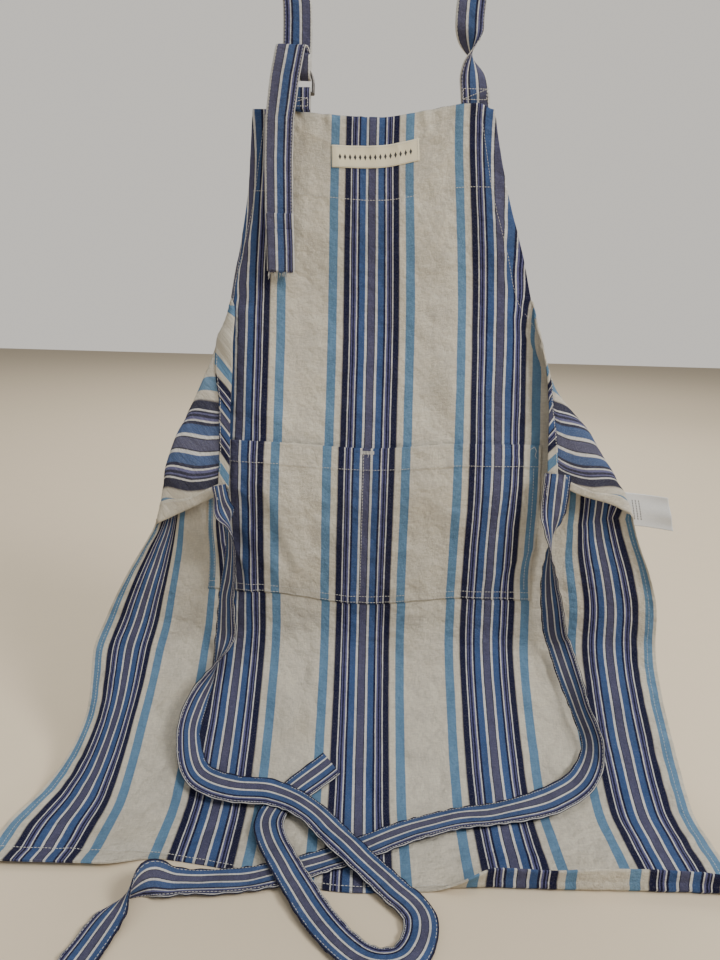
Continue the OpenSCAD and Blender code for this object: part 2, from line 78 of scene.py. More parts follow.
def sm(x):
    s = np.clip(x, 0, 1)
    return s * s * (3 - 2 * s)


def bump(x, a, b, c, d):
    return sm((x - a) / (b - a)) * (1 - sm((x - c) / (d - c)))


def lin(a, b, s):
    return a + (b - a) * s


def sind(a):
    return np.sin(np.radians(a))


def cosd(a):
    return np.cos(np.radians(a))


def w_flat(v):
    return np.where(v >= 285, HALF_W, np.minimum(HALF_W, crv(ARM, np.minimum(v, 285))))


def a_fold(v):
    return np.where(v <= VS, w_flat(v), np.where(v >= VE, HALF_W, AS + (v - VS) * math.tan(FA)))


def wave(x, v):
    away = np.where(x < 0, 0.0046, 0.0032) * np.maximum(0, np.minimum(np.abs(x), 150) - np.where(x < 0, 98.0, 108.0)) ** 2 * bump(v, 40, 150, 400, 500)
    return away - 3.5 * sind(x * 1.15 + 25) * bump(v, 455, 530, 590, 690) - 2 * sind(x * 2.1 - 40) * bump(v, 90, 170, 250, 300)


def up(x, v):
    r = lin(lin(crv(UP_L, v), crv(UP_M, v), sm((x + 110) / 110)), crv(UP_R, v), sm(x / 100))
    return r - 5 * sm((x - 95) / 18) * (1 - sm(v / 70)) + 13 * sm((x - 190) / 60) * bump(v, 300, 375, 400, 490)


def base(x, v):
    w = v - up(x, v)
    return np.stack([x - 4 * (1 - sm(v / 220)), crv(SIDE_Y, w) + wave(x, v), crv(SIDE_Z, w) + TABLE_Z], -1)


def nrm(v):
    e = 0.5
    dy = crv(SIDE_Y, v + e) - crv(SIDE_Y, v - e)
    dz = crv(SIDE_Z, v + e) - crv(SIDE_Z, v - e)
    L = np.hypot(dy, dz)
    return np.stack([0 * dy, dz / L, -dy / L], -1)


def skew(x, v):
    return lin(-15.0, 11.0, sm((x + 190) / 190)) * sm((v - 560) / 190)


def xmap(a, v, s):
    F = a_fold(v)
    XF = np.where(s < 0, crv(HANG_L, v), crv(HANG_R, v))
    g = lin(0.905, 1.0, sm(v / 190))
    a0 = np.minimum(np.minimum(0.92 * F, lin(np.where(s < 0, 141.0, 180.0), 112.0, sm((v - 392) / 70))), XF - 3)
    M = crv(MID_L, v)
    r1 = a * g
    r2 = np.where(a <= 222, lin(a0 * g, M, (a - a0) / (222 - a0)), lin(M, XF, (a - 222) / np.maximum(F - 222, 1e-6)))
    r3 = lin(a0 * g, XF, (a - a0) / np.maximum(F - a0, 1e-6))
    return np.where(a <= a0, r1, np.where((s < 0) & (v > 300), r2, r3))


def fade(v):
    return np.where(v > VE, sm(1 - (v - VE) / 120), sm((v - 150) / 70))


def lie(a, v, s):
    F = a_fold(v)
    k = fade(v)
    m = np.clip((F - a) / ROLL_W, 0, 1)
    b = (1 - m) * 90
    x1, xf, xa = xmap(F - ROLL_W, v, s), xmap(F, v, s), xmap(a, v, s)
    xr = np.where(m >= 1, xa, lin(xa, x1 + (xf - x1) * sind(b), k))
    X = s * xr
    vv = v + skew(X, v)
    return base(X, vv) + nrm(v) * (ROLL * (1 - cosd(b)) * k)[..., None]


def edge3(l, s):
    q = np.clip(l / LC, 0, 1)
    r = np.clip((l - LC) / (FL - LC), 0, 1)
    x = np.where(l <= LC, np.where(s < 0, -134.0, lin(160.0, 174.0, sm(1.8 * q))), np.where(s < 0, lin(-134.0, -208.0, r), lin(174.0, 261.0, r)))
    v = np.where(l <= LC, np.where(s < 0, lin(VS, 357.0, q), lin(VS, 338.0, q)), np.where(s < 0, lin(357.0, 394.0, r), lin(338.0, 384.0, r)))
    return x, v


def wing(a, v, s):
    l = (a - AS) * math.sin(FA) + (v - VS) * math.cos(FA)
    t = (a - AS) * math.cos(FA) - (v - VS) * math.sin(FA)
    lc = np.clip(l, 0, FL)
    tm = np.maximum(0.5, np.where(l < LC, TC * (lc / LC) ** 1.15, TC * (FL - lc) / (FL - LC)))
    q = np.maximum(0, t / tm)
    vF, aF = VS + lc * math.cos(FA), AS + lc * math.sin(FA)
    fx = s * xmap(aF, vF, s)
    gx, gv = edge3(lc, s)
    wf = np.minimum(22, tm)
    ts = np.clip(t / np.maximum(wf, 0.1), 0, 1)
    b = 90 + 90 * ts
    qq = np.where(t < wf, (t / np.maximum(tm, 0.1)) * lin(1 - sind(b), 1.0, t / np.maximum(wf, 0.1)), np.minimum(q, 1.04))
    qq = qq + 0.35 * qq * (1 - qq)
    px, pv = fx + (gx - fx) * qq, vF + (gv - vF) * qq
    return base(px, pv) + nrm(pv) * (ROLL * (1 - cosd(b)) * lin(1, 0.82, np.minimum(1, q)) * fade(vF))[..., None]


def cloth(u, v):
    u, v = np.broadcast_arrays(np.asarray(u, float), np.asarray(v, float))
    s = np.where(u < 0, -1.0, 1.0)
    a = np.abs(u)
    on_wing = (v > VS) & (v < VE) & (a > a_fold(v))
    return np.where(on_wing[..., None], wing(a, v, s), lie(a, v, s))


# ---------------------------------------------------------------- creases, the same on every run
def table_noise(seed, n=64):
    return np.random.RandomState(seed).rand(n, n)


NOISE = {}


def vn(x, y, seed):
    """Smooth noise from -1 to 1."""
    if seed not in NOISE:
        NOISE[seed] = table_noise(seed)
    T = NOISE[seed]
    xi, yi = np.floor(x).astype(int), np.floor(y).astype(int)
    fx, fy = sm(x - xi), sm(y - yi)
    a, b = T[xi % 64, yi % 64], T[(xi + 1) % 64, yi % 64]
    c, d = T[xi % 64, (yi + 1) % 64], T[(xi + 1) % 64, (yi + 1) % 64]
    return 2 * (lin(lin(a, b, fx), lin(c, d, fx), fy)) - 1


def ridge(x, y, seed, p=3):
    return (1 - np.abs(vn(x, y, seed))) ** p


def seg(u, v, u0, v0, u1, v1, w, soft=0.25):
    """A crease along a segment: 1 on it, fading over w to the sides and at its ends."""
    dx, dy = u1 - u0, v1 - v0
    L = math.hypot(dx, dy)
    t = ((u - u0) * dx + (v - v0) * dy) / L**2
    d = ((u - u0) * dy - (v - v0) * dx) / L
    return np.exp(-((d / w) ** 2)) * sm(t / soft + 0.5) * sm((1 - t) / soft + 0.5)


def relief(u, v):
    """How far the cloth stands off its smooth form towards its front, in mm."""
    a = np.abs(u)
    free = 1.0
    h = 1.9 * vn(u / 95 + 3, v / 120 + 7, 1) + 1.4 * vn(u / 42, v / 55 + 2, 2) + 0.5 * vn(u / 15, v / 17, 3)
    h += 1.1 * (ridge(u / 60 + v / 190, v / 75 - u / 150, 4, 4) - 0.3) + 0.8 * (ridge(u / 33 - v / 90, v / 40 + u / 80, 5, 5) - 0.2)
    # gathers under the bib's top edge and along the facing's seam
    h += (0.95 * np.sin(u / 3.6 + 2.5 * vn(u / 20, v / 60, 6)) * np.exp(-v / 26) + 0.55 * np.sin(u / 4.4 + 3 * vn(u / 24, v / 50, 7)) * np.exp(-(((v - 75) / 15) ** 2))) * sm((w_flat(v) - a) / 8)
    # long soft folds on the bib
    h += 2.6 * seg(u, v, -84, 95, -112, 300, 16) - 2.4 * seg(u, v, -60, 110, -78, 290, 14) + 1.6 * seg(u, v, -14, 95, -6, 300, 12)
    h += 1.5 * seg(u, v, 86, 82, 50, 132, 5) - 1.1 * seg(u, v, 96, 92, 62, 140, 6) + 1.2 * seg(u, v, 44, 120, 66, 190, 7) + 1.1 * seg(u, v, 20, 84, 30, 150, 5)
    h += 2.2 * seg(u, v, 70, 80, 84, 300, 13) - 2.0 * seg(u, v, 98, 90, 118, 290, 12) + 2.0 * seg(u, v, 125, 120, 150, 290, 10)
    h += 1.7 * seg(u, v, 34, 150, 96, 296, 11) - 1.6 * seg(u, v, 20, 200, 80, 303, 12)
    # pull lines along the pocket's top and bottom seams
    for v0, k in ((P_V0 + P_H - 6, 0.55), (P_V0 + 4, 0.2)):
        h += k * np.sin(u / 4.1 + 3 * vn(u / 22, v / 60, 8)) * np.exp(-(((v - v0) / 12) ** 2)) * (a < 185)
    # hems pucker
    h += 0.55 * np.sin(v / 4.2 + 3 * vn(u / 60, v / 26, 9)) * np.exp(-(((a - (w_flat(v) - 16)) / 10) ** 2))
    h += 0.5 * np.sin(u / 4.3 + 3 * vn(u / 26, v / 60, 10)) * np.exp(-(((v - (BODY_LEN - BOTTOM_HEM)) / 9) ** 2))
    # skirt: soft standing folds under the pocket and towards the table
    h += bump(v, 462, 500, 640, 720) * (2.2 * seg(u, v, -40, 470, -62, 700, 24) - 1.8 * seg(u, v, 30, 470, 40, 700, 26) + 2.2 * seg(u, v, 112, 470, 128, 700, 22) + 2.0 * seg(u, v, -150, 450, -168, 700, 20) - 2.0 * seg(u, v, -196, 430, -214, 700, 20))
    # the wings are stiffer and wavier near their turned edge
    on = sm((a - a_fold(v)) / 30) * ((v > VS) & (v < VE))
    h = h * (1 - 0.35 * on) + on * (0.8 * np.sin(v / 17.0 + a / 26.0) + 0.6 * vn(u / 21, v / 24, 11))
    return h * free


def shape(u, v):
    """The cloth with its bottom edge: turned up towards the front on the right, curled under on the left."""
    u, v = np.broadcast_arrays(np.asarray(u, float), np.asarray(v, float))
    vh = BODY_LEN - BOTTOM_HEM
    p = cloth(u, np.minimum(v, vh + 1.5))
    over = np.maximum(0, v - vh - 1.5)
    up = sm((u + 140) / 130)
    th = lin(14.0, 84.0, up) + 9 * vn(u / 38, u * 0 + 3.3, 12) * up - 8 * sm((u - 262) / 30)
    # where the ties lie across it the hem stays flat
    low = bump(u, -205, -160, 52, 108)
    th = th * (1 - 0.98 * low)
    rise = over * sind(th * sm(over / 7)) * 0.97
    run = over * cosd(th * sm(over / 7)) * (1 - 0.72 * low)
    p = p + np.stack([0 * u, -run, rise + 0 * u], -1)
    return p


def frame_at(u, v):
    e = 0.9
    c = np.cross(shape(u + e, v) - shape(u - e, v), shape(u, v + e) - shape(u, v - e))
    n = -c / np.maximum(1e-9, np.linalg.norm(c, axis=-1, keepdims=True))
    return n


def S(u, v, off=0.0):
    u, v = np.broadcast_arrays(np.asarray(u, float), np.asarray(v, float))
    p = shape(u, v)
    n = frame_at(u, v)
    q = p + n * (relief(u, v) * sm((BODY_LEN + 12 - v) / 60) + off)[..., None]
    q[..., 2] = np.maximum(q[..., 2], TABLE_Z + 0.5 + 0 * q[..., 2])
    return q, n


# ---------------------------------------------------------------- meshes
def put(name, verts, faces, body, material, attrs=None, replaces=(), smooth=True):
    me = bpy.data.meshes.new(name)
    verts = np.asarray(verts, float) / 1000.0
    me.from_pydata(verts.tolist(), [], [tuple(int(i) for i in f) for f in faces])
    for k, a in (attrs or {}).items():
        at = me.attributes.new(k, "FLOAT", "POINT")
        at.data.foreach_set("value", np.asarray(a, np.float32).ravel())
    me.materials.append(material)
    if smooth:
        me.polygons.foreach_set("use_smooth", [True] * len(me.polygons))
    me.update()
    ob = bpy.data.objects.new(name, me)
    bpy.context.scene.collection.objects.link(ob)
    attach(ob, body)
    if replaces:
        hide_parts(*replaces)
    return ob


def grid_normals(G):
    du = np.gradient(G, axis=1)
    dv = np.gradient(G, axis=0)
    c = np.cross(du, dv)
    return -c / np.maximum(1e-9, np.linalg.norm(c, axis=-1, keepdims=True))


def solid(G, th, n=None):
    """Vertices, faces of a sheet of thickness th about grid G; front vertices come first."""
    r, c = G.shape[:2]
    if n is None:
        n = grid_normals(G)
    t = np.broadcast_to(np.asarray(th, float), (r, c))[..., None] / 2
    F, B = G + n * t, G - n * t
    N = r * c
    idx = np.arange(N).reshape(r, c)
    a, b, d, e = idx[:-1, :-1].ravel(), idx[:-1, 1:].ravel(), idx[1:, 1:].ravel(), idx[1:, :-1].ravel()
    faces = [np.stack([a, e, d, b], 1), np.stack([a, b, d, e], 1) + N]
    rim = np.concatenate([idx[0, :], idx[1:, -1], idx[-1, -2::-1], idx[-2:0:-1, 0]])
    nx = np.roll(rim, -1)
    faces.append(np.stack([rim, nx, nx + N, rim + N], 1))
    return np.concatenate([F.reshape(-1, 3), B.reshape(-1, 3)]), np.concatenate(faces)


def flat_attrs(U, V, pu=None, pub=None, side=None):
    pu = U if pu is None else pu
    pub = pu if pub is None else pub
    sd = np.concatenate([np.ones(U.size), np.zeros(U.size)]) if side is None else np.concatenate([np.full(U.size, side[0]), np.full(U.size, side[1])])
    return {"pu": np.concatenate([np.ravel(pu), np.ravel(pub)]), "pv": np.concatenate([V.ravel(), V.ravel()]), "side": sd}


# ---------------------------------------------------------------- materials
def nodes_of(name):
    m = bpy.data.materials.new(name)
    m.use_nodes = True
    nt = m.node_tree
    nt.nodes.clear()
    return m, nt


def N(nt, kind, **kw):
    n = nt.nodes.new(kind)
    for k, v in kw.items():
        setattr(n, k, v)
    return n


def math_n(nt, op, a, b=None, c=None, clamp=False):
    n = N(nt, "ShaderNodeMath", operation=op, use_clamp=clamp)
    for i, x in enumerate((a, b, c)):
        if x is None:
            continue
        if isinstance(x, (int, float)):
            n.inputs[i].default_value = x
        else:
            nt.links.new(x, n.inputs[i])
    return n.outputs[0]


def mix_n(nt, fac, a, b, mode="MIX"):
    n = N(nt, "ShaderNodeMix", data_type="RGBA", blend_type=mode)
    for sock, x in ((n.inputs[0], fac), (n.inputs[6], a), (n.inputs[7], b)):
        if isinstance(x, (int, float)):
            sock.default_value = x
        elif isinstance(x, tuple):
            sock.default_value = (*x, 1.0)
        else:
            nt.links.new(x, sock)
    return n.outputs[2]


def srgb(r, g, b):
    return tuple((c / 255 / 12.92) if c / 255 <= 0.04045 else ((c / 255 + 0.055) / 1.055) ** 2.4 for c in (r, g, b))


CREAM, LBLUE, NAVY = srgb(230, 222, 202), srgb(106, 147, 180), srgb(4, 13, 60)
BLUE, GREY, WHITE, LILAC = srgb(62, 92, 142), srgb(84, 85, 116), srgb(238, 236, 230), srgb(98, 100, 146)
DARK = srgb(16, 20, 56)
BANDS = [(0, GREY), (3.2, GREY), (3.35, DARK), (3.95, DARK), (4.15, WHITE), (6.0, WHITE), (6.3, BLUE), (12.0, BLUE), (12.2, NAVY), (13.9, NAVY), (14.1, WHITE), (14.9, WHITE),
         (15.2, LILAC), (16.7, LILAC), (16.9, NAVY), (18.4, NAVY), (18.6, LILAC), (19.3, LILAC), (19.5, NAVY), (20.5, NAVY), (20.7, WHITE), (21.5, WHITE), (21.8, NAVY), (27.0, NAVY), (28.6, CREAM), (33.8, CREAM), (34.1, LBLUE), (42.6, LBLUE), (42.9, CREAM), (63.5, CREAM)]


def cotton(name, back=0.5, dim=1.0, fade_amt=0.045):
    m, nt = nodes_of(name)
    L = nt.links.new
    pu = N(nt, "ShaderNodeAttribute", attribute_name="pu").outputs["Fac"]
    pv = N(nt, "ShaderNodeAttribute", attribute_name="pv").outputs["Fac"]
    side = N(nt, "ShaderNodeAttribute", attribute_name="side").outputs["Fac"]
    co = N(nt, "ShaderNodeCombineXYZ")
    L(pu, co.inputs[0])
    L(pv, co.inputs[1])
    P = co.outputs[0]

    def noise(scale, stretch=(1, 1, 1), detail=2.0, rough=0.6):
        mp = N(nt, "ShaderNodeMapping")
        mp.inputs["Scale"].default_value = stretch
        L(P, mp.inputs[0])
        n = N(nt, "ShaderNodeTexNoise")
        n.inputs["Scale"].default_value = scale
        n.inputs["Detail"].default_value = detail
        n.inputs["Roughness"].default_value = rough
        L(mp.outputs[0], n.inputs["Vector"])
        return n.outputs["Fac"]

    wob = math_n(nt, "MULTIPLY", math_n(nt, "SUBTRACT", noise(0.05, (1, 0.4, 1)), 0.5), 0.9)
    jit = math_n(nt, "MULTIPLY", math_n(nt, "SUBTRACT", noise(1.1, (1.6, 0.5, 1), 1.0), 0.5), 0.5)
    uu = math_n(nt, "ADD", pu, math_n(nt, "ADD", wob, jit))
    t = math_n(nt, "DIVIDE", math_n(nt, "PINGPONG", uu, 63.5), 63.5)
    ramp = N(nt, "ShaderNodeValToRGB")
    cr = ramp.color_ramp
    cr.interpolation = "LINEAR"
    while len(cr.elements) > 1:
        cr.elements.remove(cr.elements[-1])
    cr.elements[0].position = 0
    cr.elements[0].color = (*BANDS[0][1], 1)
    for pos, col in BANDS[1:]:
        e = cr.elements.new(min(1.0, pos / 63.5))
        e.color = (*col, 1)
    L(t, ramp.inputs[0])
    col = ramp.outputs[0]
    # single threads: pale flecks in the coloured yarn, running along the stripe
    fleck = noise(1.9, (2.2, 0.35, 1), 2.0, 0.7)
    fl = math_n(nt, "MULTIPLY", math_n(nt, "SUBTRACT", fleck, 0.56, clamp=True), 2.6, clamp=True)
    col = mix_n(nt, fl, col, mix_n(nt, 0.55, col, WHITE))
    weft = noise(2.0, (0.35, 2.4, 1), 2.0, 0.7)
    col = mix_n(nt, 1.0, col, mix_n(nt, math_n(nt, "MULTIPLY", weft, 0.6), (1, 1, 1), (0.72, 0.72, 0.72)), "MULTIPLY")
    # slubs and uneven yarn, a little larger
    slub = noise(0.55, (1.5, 0.28, 1), 3.0, 0.7)
    slub2 = noise(0.4, (0.4, 1.8, 1), 3.0, 0.7)
    mott = math_n(nt, "MULTIPLY", math_n(nt, "ADD", slub, slub2), 0.5)
    mott = math_n(nt, "MULTIPLY", math_n(nt, "SUBTRACT", mott, 0.34, clamp=True), 3.0, clamp=True)
    col = mix_n(nt, mott, mix_n(nt, 1.0, col, (0.72, 0.72, 0.74), "MULTIPLY"), col)
    # wear: washed patches and slight yellowing
    worn = noise(0.018, (1, 1, 1), 4.0, 0.65)
    col = mix_n(nt, math_n(nt, "MULTIPLY", worn, fade_amt), col, srgb(214, 206, 190))
    stain = math_n(nt, "MULTIPLY", math_n(nt, "SUBTRACT", noise(0.012, (1, 1.3, 1), 3.0), 0.52, clamp=True), 1.6, clamp=True)
    col = mix_n(nt, math_n(nt, "MULTIPLY", stain, 0.5), col, mix_n(nt, 1.0, col, srgb(226, 208, 176), "MULTIPLY"))
    # painted shade: soft dark blotches in the colour that stand in for the shading of old creases
    for sc, st, k in ((0.021, (1, 0.8, 1), 0.13), (0.05, (0.8, 1.1, 1), 0.1)):
        crease_shade_paint = math_n(nt, "MULTIPLY", math_n(nt, "SUBTRACT", noise(sc, st, 4.0, 0.62), 0.44, clamp=True), 4.0, clamp=True)
        col = mix_n(nt, crease_shade_paint, col, mix_n(nt, 1.0, col, (1 - k, 1 - k, 1 - 0.9 * k), "MULTIPLY"))
    # the back face shows more of the pale weft
    inv = math_n(nt, "SUBTRACT", 1.0, side)
    pale = mix_n(nt, 0.04, col, srgb(196, 194, 192))
    spk = math_n(nt, "MULTIPLY", math_n(nt, "SUBTRACT", noise(2.6, (1, 1, 1), 2.0, 0.8), 0.5, clamp=True), 2.4, clamp=True)
    pale = mix_n(nt, spk, pale, mix_n(nt, 0.16, pale, WHITE))
    col = mix_n(nt, math_n(nt, "MULTIPLY", inv, back * 2, clamp=True), col, pale)
    if dim != 1.0:
        col = mix_n(nt, 1.0, col, (dim, dim, dim), "MULTIPLY")
    bs = N(nt, "ShaderNodeBsdfPrincipled")
    L(col, bs.inputs["Base Color"])
    bs.inputs["Roughness"].default_value = 0.88
    bs.inputs["Specular IOR Level"].default_value = 0.04
    bs.inputs["Sheen Weight"].default_value = 0.0
    bs.inputs["Sheen Roughness"].default_value = 0.6
    # weave and fine creases
    h = math_n(nt, "ADD", math_n(nt, "MULTIPLY", noise(1.4, (1.5, 1, 1), 2.0), 0.35), math_n(nt, "MULTIPLY", noise(0.09, (1, 1, 1), 5.0, 0.62), 1.8))
    for sc, st, k in ((0.017, (1, 0.75, 1), 5.6), (0.034, (0.8, 1, 1), 2.0)):
        crease = math_n(nt, "ABSOLUTE", math_n(nt, "SUBTRACT", noise(sc, st, 2.5, 0.5), 0.5))
        h = math_n(nt, "ADD", h, math_n(nt, "MULTIPLY", crease, k))
    bp = N(nt, "ShaderNodeBump")
    bp.inputs["Strength"].default_value = 0.8
    bp.inputs["Distance"].default_value = 0.0036
    L(h, bp.inputs["Height"])
    L(bp.outputs[0], bs.inputs["Normal"])
    out = N(nt, "ShaderNodeOutputMaterial")
    L(bs.outputs[0], out.inputs[0])
    return m


def plain(name, col, rough=0.85, metal=0.0, scale=900.0, amt=0.12, bumpd=0.0004, spec=0.3):
    m, nt = nodes_of(name)
    L = nt.links.new
    tc = N(nt, "ShaderNodeTexCoord")
    n = N(nt, "ShaderNodeTexNoise")
    n.inputs["Scale"].default_value = scale
    n.inputs["Detail"].default_value = 3
    L(tc.outputs["Object"], n.inputs["Vector"])
    dark = tuple(c * (1 - amt * 2.2) for c in col)
    c = mix_n(nt, n.outputs["Fac"], dark, tuple(min(1, x * (1 + amt)) for x in col))
    bs = N(nt, "ShaderNodeBsdfPrincipled")
    L(c, bs.inputs["Base Color"])
    bs.inputs["Roughness"].default_value = rough
    bs.inputs["Metallic"].default_value = metal
    bs.inputs["Specular IOR Level"].default_value = spec
    bp = N(nt, "ShaderNodeBump")
    bp.inputs["Strength"].default_value = 0.5
    bp.inputs["Distance"].default_value = bumpd
    L(n.outputs["Fac"], bp.inputs["Height"])
    L(bp.outputs[0], bs.inputs["Normal"])
    out = N(nt, "ShaderNodeOutputMaterial")
    L(bs.outputs[0], out.inputs[0])
    return m


M_CLOTH = cotton("cloth_body")
M_TAPE = cotton("cloth_tape", back=0.1, fade_amt=0.06)
M_THREAD = plain("thread_cream", srgb(204, 201, 193), 0.8, amt=0.05)
M_STEEL = plain("ring_steel", srgb(108, 104, 100), 0.34, 1.0, 260.0, 0.16, 0.0002, 0.5)
M_FLOOR = plain("floor", srgb(214, 198, 172), 0.9, amt=0.01, scale=30.0, bumpd=0.0)
DENS = 1.0


def n_of(k):
    return max(3, int(round(k * DENS)))


# ---------------------------------------------------------------- body panel
def body_panel():
    R = n_of(250)
    vs = np.unique(np.concatenate([np.linspace(0, 700, int(R * 0.85)), np.linspace(700, BODY_LEN, int(R * 0.15) + 10), [VS, VE, 285.0]]))
    rows_a = []
    n1, n2, n3 = n_of(66), 12, n_of(36)
    for v in vs:
        w = float(w_flat(v))
        F = min(float(a_fold(v)), w - 16)
        a = np.concatenate([np.linspace(0, F - ROLL_W, n1, endpoint=False), F - ROLL_W * np.cos(np.radians(np.linspace(0, 90, n2))), np.linspace(F, w, n3)[1:]])
        rows_a.append(a)
    Aa = np.array(rows_a)
    U = np.concatenate([-Aa[:, :0:-1], Aa], 1)
    V = np.broadcast_to(vs[:, None], U.shape)
    G, n = S(U, V)
    vv, ff = solid(G, 0.75, n)
    turned = sm((np.abs(U) - a_fold(V)) / 55) * ((V > VS) & (V < VE))
    return put("body_cloth", vv, ff, "apron", M_CLOTH, flat_attrs(U, V, U - np.sign(U) * 9.5 * turned), ("body_panel",))


def band(name, U, V, off, th, pu, rides, material=None, replaces=(), side=(1.0, 1.0)):
    G, n = S(U, V, off)
    vv, ff = solid(G, th, n)
    return put(name, vv, ff, rides, material or M_CLOTH, flat_attrs(U, V, pu, pu, side), replaces)


def hems():
    # side hems, turned to the back
    for s, nm in ((-1, "left"), (1, "right")):
        v = np.linspace(286, BODY_LEN - 2, n_of(190))
        a = np.linspace(HALF_W - SIDE_HEM, HALF_W + 0.3, 8)
        U, V = np.meshgrid(s * a, v)
        k = 0.7 + 0.25 * sm((HALF_W - np.abs(U)) / 3) - 0.35 * sm((HALF_W - 2 - np.abs(U)) / -2)
        band("side_hem_" + nm, U, V, -k, 0.6, s * (2 * HALF_W - np.abs(U)), "apron")
        # armhole hems: the turned strip mirrors the stripes about the edge
        v = np.linspace(1, 284, n_of(150))
        w = w_flat(v)
        dw = np.gradient(w, v)
        nu, nv = 1 / np.sqrt(1 + dw**2), -dw / np.sqrt(1 + dw**2)
        d = np.linspace(ARM_HEM, -0.3, 8)
        aa = w[:, None] - nu[:, None] * d[None]
        vv = v[:, None] - nv[:, None] * d[None]
        pu = s * (aa + 2 * d[None] * nu[:, None])
        k = 0.7 + 0.25 * sm(d / 3)[None] + 0 * aa
        ok = slice(0, None)
        band("arm_hem_" + nm, s * aa[ok], np.clip(vv[ok], 0.5, 800), -k[ok], 0.6, pu[ok], "apron")
    # bottom hem
    u = np.linspace(-HALF_W + 2, HALF_W - 2, n_of(300))
    v = np.linspace(BODY_LEN - BOTTOM_HEM, BODY_LEN + 0.3, 9)
    U, V = np.meshgrid(u, v)
    band("bottom_hem", U, V, -0.75 + 0 * U, 0.6, U, "apron")


def facing():
    v = np.linspace(-0.4, FACING, n_of(40))
    t = np.linspace(-1, 1, n_of(120))
    w = w_flat(v) - 5
    U = w[:, None] * t[None]
    V = np.broadcast_to(v[:, None], U.shape)
    band("bib_facing", U, V, -0.95, 0.55, U + 38, "apron", replaces=("bib_facing",))


# ---------------------------------------------------------------- pocket
def p_off(u, v):
    a = np.abs(u)
    b = 1.25 + 3.0 * bump(v, P_V0 - 60, P_V0 + 2, P_V0 + 16, P_V0 + 95) * (1 - np.exp(-np.abs(u) / 26)) * (1 - sm((a - 138) / 32)) * (0.7 + 0.4 * vn(u / 55, v / 80, 21))
    inner = sm((P_HW - a) / 26) * sm((P_V0 + P_H - v) / 24) * (1 - np.exp(-a / 14))
    b = b + inner * (1.0 + 1.1 * vn(u / 34 + 5, v / 38, 22) + 0.9 * (ridge(u / 40 + v / 60, v / 44 - u / 50, 23, 4) - 0.25))
    # the bulge and its creases on the left pocket
    b = b + inner * (4.2 * np.exp(-(((u + 78) / 24) ** 2 + ((v - 372) / 42) ** 2)) + 2.4 * seg(u, v, -100, 352, -64, 432, 8) - 1.6 * seg(u, v, -70, 338, -50, 410, 8) + 1.8 * seg(u, v, -118, 392, -82, 448, 8))
    b = b + inner * (2.0 * np.exp(-(((u - 84) / 40) ** 2 + ((v - 366) / 40) ** 2)))
    return np.maximum(b, 1.15)


def pocket():
    v = np.unique(np.concatenate([np.linspace(P_V0, P_V0 + P_H, n_of(84)), [P_V0 + 21.5, P_V0 + 23]]))
    u = np.linspace(-P_HW, P_HW, n_of(190))
    U, V = np.meshgrid(u, v)
    off = p_off(U, V) + 0.35 * sm((P_V0 + 22.5 - V) / 1.2)
    edge = sm((P_HW - np.abs(U)) / 2.5) * sm((P_V0 + P_H - V) / 2.5)
    G, n = S(U, V, off - 0.6 * (1 - edge))
    vv, ff = solid(G, 0.75 + 0.6 * sm((P_V0 + 22.5 - V) / 1.2), n)
    put("pocket_cloth", vv, ff, "apron", M_CLOTH, flat_attrs(U, V, U + 1.2), ("pocket_panel",))


# ---------------------------------------------------------------- stitches
def capsules(ends_a, ends_b, nor, r=0.33, flat=0.6):
    """Short rounded threads from each a to each b."""
    d = ends_b - ends_a
    L = np.linalg.norm(d, axis=1, keepdims=True)
    d = d / np.maximum(L, 1e-9)
    s = np.cross(d, nor)
    s /= np.maximum(1e-9, np.linalg.norm(s, axis=1, keepdims=True))
    n = np.cross(s, d)
    ks = [(-0.02, 0.35), (0.14, 0.9), (0.5, 1.1), (0.86, 0.9), (1.02, 0.35)]
    V = []
    for t, k in ks:
        c = ends_a + d * L * t + n * r * 0.35 * (1 - (2 * t - 1) ** 2)
        for ang in range(0, 360, 72):
            V.append(c + (s * math.cos(math.radians(ang)) + n * flat * math.sin(math.radians(ang))) * r * k)
    V = np.stack(V, 1)
    m, w = V.shape[0], 5
    f = []
    for i in range(len(ks) - 1):
        for j in range(w):
            f.append([i * w + j, i * w + (j + 1) % w, (i + 1) * w + (j + 1) % w, (i + 1) * w + j])
    f = np.array(f)
    caps = np.array([[4, 3, 2, 1, 0], [20, 21, 22, 23, 24]])
    off = (np.arange(m) * V.shape[1])[:, None, None]
    quads = (f[None] + off).reshape(-1, 4)
    ends = (caps[None] + off).reshape(-1, 5)
    return V.reshape(-1, 3), [tuple(q) for q in quads] + [tuple(q) for q in ends]


def along(P, pitch):
    P = np.asarray(P, float)
    d = np.r_[0, np.cumsum(np.linalg.norm(np.diff(P, axis=0), axis=1))]
    k = max(1, int(d[-1] / pitch))
    t0 = np.arange(k) * pitch
    t1 = t0 + pitch * 0.72
    f = lambda t: np.stack([np.interp(t, d, P[:, i]) for i in range(P.shape[1])], 1)
    return f(t0), f(t1)


def stitch(name, paths, off, body="apron", replaces=(), pitch=2.9, r=0.27, offn=None):
    VV, FF, base_i = [], [], 0
    for P in paths:
        a, b = along(P, pitch)
        oa = off if offn is None else offn(a[:, 0], a[:, 1])
        ob = off if offn is None else offn(b[:, 0], b[:, 1])
        pa, na = S(a[:, 0], a[:, 1], oa)
        pb, _ = S(b[:, 0], b[:, 1], ob)
        sg = 1.0 if np.mean(oa) > 0 else -1.0
        v, f = capsules(pa, pb, na * sg, r)
        VV.append(v)
        FF += [tuple(i + base_i for i in q) for q in f]
        base_i += len(v)
    return put(name, np.concatenate(VV), FF, body, M_THREAD, None, replaces)


def hl(u0, u1, v, n=60):
    u = np.linspace(u0, u1, n)
    return np.stack([u, 0 * u + v], 1)


